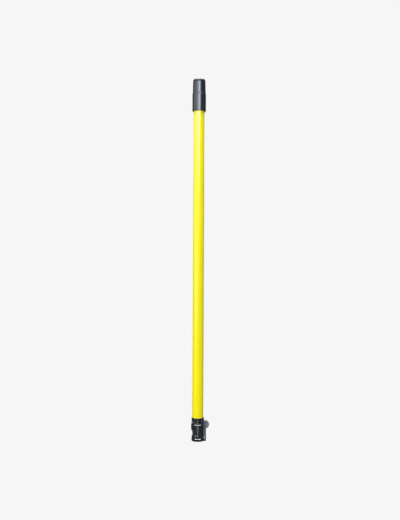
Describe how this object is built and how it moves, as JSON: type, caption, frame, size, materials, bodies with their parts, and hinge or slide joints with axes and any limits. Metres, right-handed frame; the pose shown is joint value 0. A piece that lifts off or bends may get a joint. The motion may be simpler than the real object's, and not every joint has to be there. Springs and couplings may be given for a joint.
{
  "type": "telescopic pole",
  "caption": "Telescopic insulating pole: yellow tube with a rubber end cap and a cam-lever clamp that frees the inner tube to slide and turn.",
  "frame": {"origin": "centre of the rubber cap's end face, on the pole's axis; the closed pole lies below it, down to z = -1.294 m", "axes": "+Z along the pole's axis, from the tool end towards the cap; +X towards the clamp's lever; -Y is the clamp's front in the picture"},
  "size_m": [0.0654, 0.0488, 1.294],
  "materials": {
    "yellow_laminate": "gloss",
    "black_moulding": "satin",
    "black_rubber": "satin",
    "grey_casting": "satin",
    "bright_steel": "satin",
    "pale_nylon": "satin",
    "yellow_brass": "satin",
    "grey_felt": "matte"
  },
  "bodies": {
    "outer": {"outer_tube": "yellow_laminate", "butt_cap": "black_rubber", "butt_plug": "black_moulding", "clamp_housing": "black_moulding", "housing_rivet_front": "bright_steel", "housing_rivet_back": "bright_steel", "wiper_ring": "grey_felt", "guide_bush": "pale_nylon", "pivot_screw": "bright_steel", "pivot_nut": "bright_steel", "pivot_washer_front": "bright_steel", "pivot_washer_back": "bright_steel"},
    "lever": {"cam_lever": "grey_casting"},
    "shoe": {"brake_shoe": "pale_nylon", "brake_pad": "black_rubber"},
    "inner_slide": {"guide_ring": "pale_nylon"},
    "inner_section": {"inner_tube": "yellow_laminate", "rear_plug": "black_moulding", "stop_collar": "pale_nylon", "tip_ferrule": "black_moulding", "tip_insert": "yellow_brass", "tip_rivet_right": "bright_steel", "tip_rivet_left": "bright_steel", "rear_rivet_right": "bright_steel", "rear_rivet_left": "bright_steel"}
  },
  "joints": [
    {"name": "inner_section_slide", "type": "slide", "parent": "outer", "child": "inner_slide", "axis": [0, 0, -1], "range_m": [0, 1.05]},
    {"name": "inner_section_turn", "type": "hinge", "parent": "inner_slide", "child": "inner_section", "pos_m": [0, 0, -1.294], "axis": [0, 0, 1], "continuous": true},
    {"name": "lever_pivot", "type": "hinge", "parent": "outer", "child": "lever", "pos_m": [0.0245, 0, -1.2805], "axis": [0, 1, 0], "range_deg": [0, 100]},
    {"name": "shoe_slide", "type": "slide", "parent": "outer", "child": "shoe", "axis": [1, 0, 0], "range_m": [0, 0.0007]}
  ],
  "couplings": [
    {"joint": "shoe_slide", "follows": "lever_pivot", "m_per_rad": 0.0004}
  ]
}
